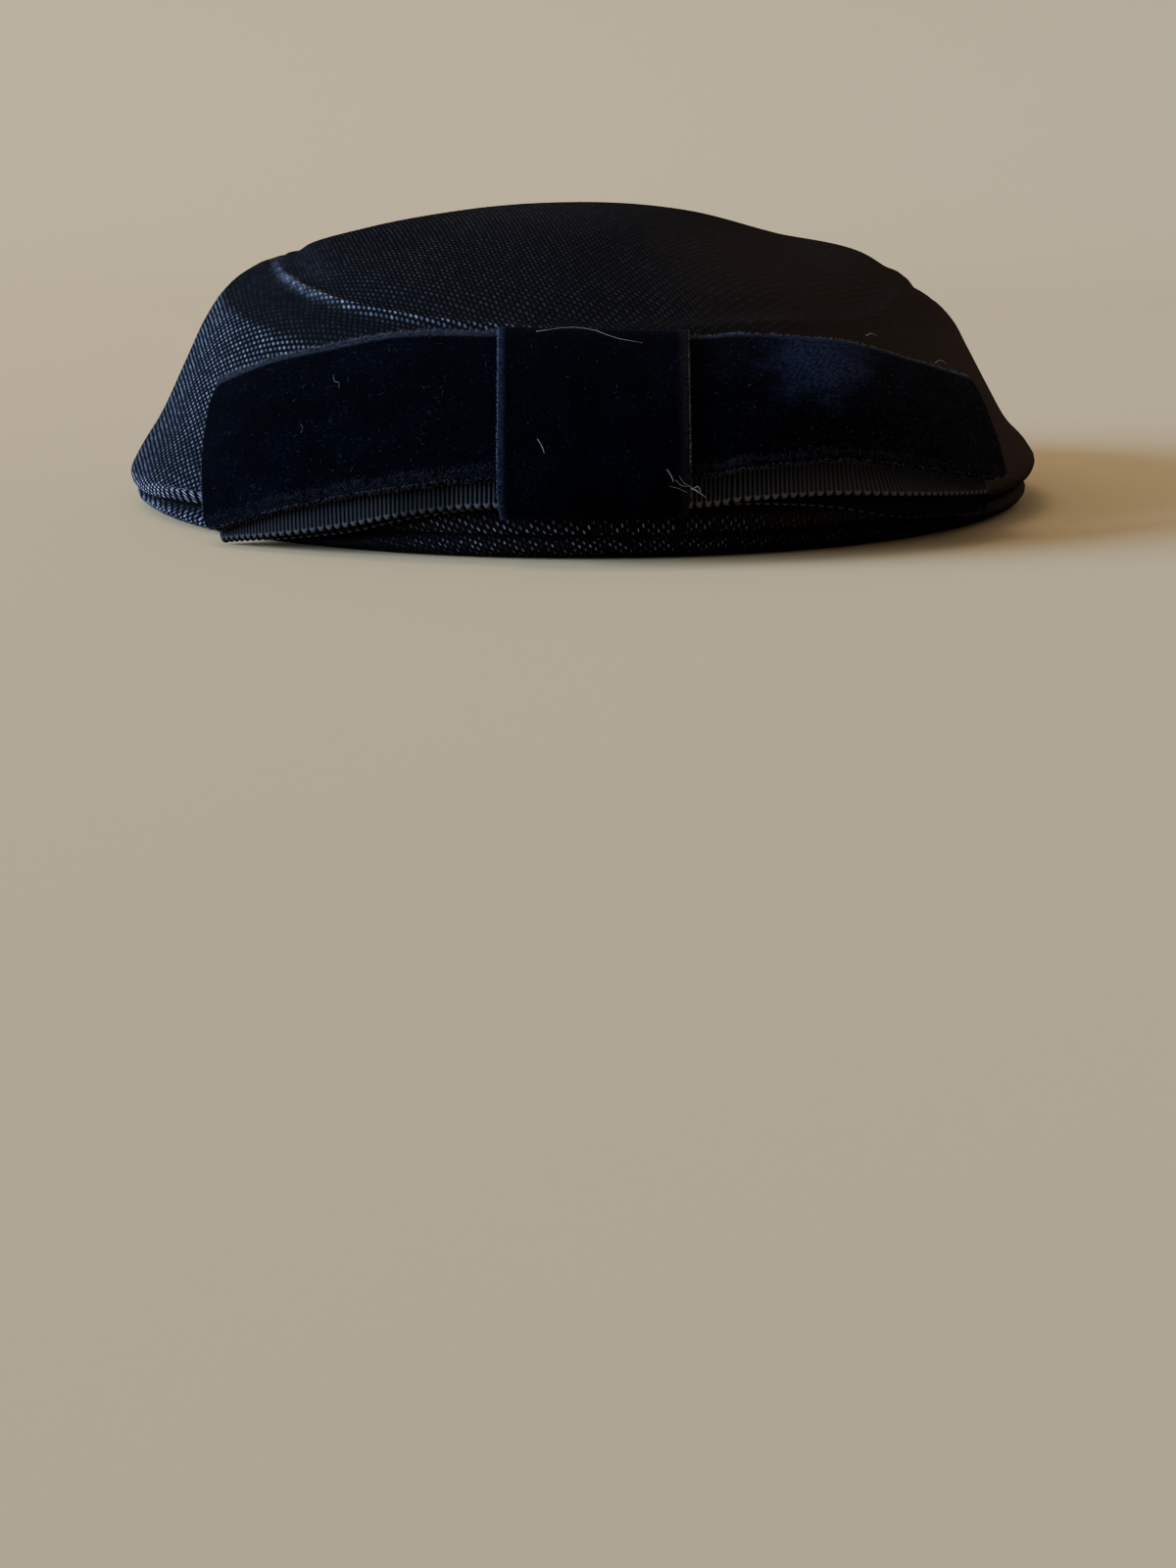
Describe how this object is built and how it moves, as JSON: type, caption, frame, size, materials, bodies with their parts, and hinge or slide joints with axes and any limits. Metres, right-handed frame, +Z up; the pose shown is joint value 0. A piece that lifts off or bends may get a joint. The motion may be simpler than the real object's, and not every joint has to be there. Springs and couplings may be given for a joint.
{
  "type": "pillbox hat",
  "caption": "Shallow domed pillbox hat in fine woven straw with a turned-under rim, a flat velvet and grosgrain bow across the front and a head elastic.",
  "frame": {"origin": "middle of the box round the hat and its bow, on the plane that the rim rests on; the elastic isn't counted", "axes": "+Z up through the crown, -Y towards the front with the bow, +X to the right seen from the front"},
  "size_m": [0.2198, 0.2278, 0.0698],
  "materials": {
    "straw": "fine twill-woven straw cloth, black with a slight navy cast, satin glints on the weave",
    "velvet": "deep navy-black velvet ribbon with a soft pile and a thin woven selvedge",
    "grosgrain": "black grosgrain ribbon with fine ribs across it and a scalloped edge",
    "elastic": "black braided round elastic"
  },
  "bodies": {
    "root": {"hat_body": "straw", "velvet_bow": "velvet", "grosgrain_bow": "grosgrain", "velvet_knot": "velvet", "head_elastic": "elastic"}
  },
  "joints": []
}
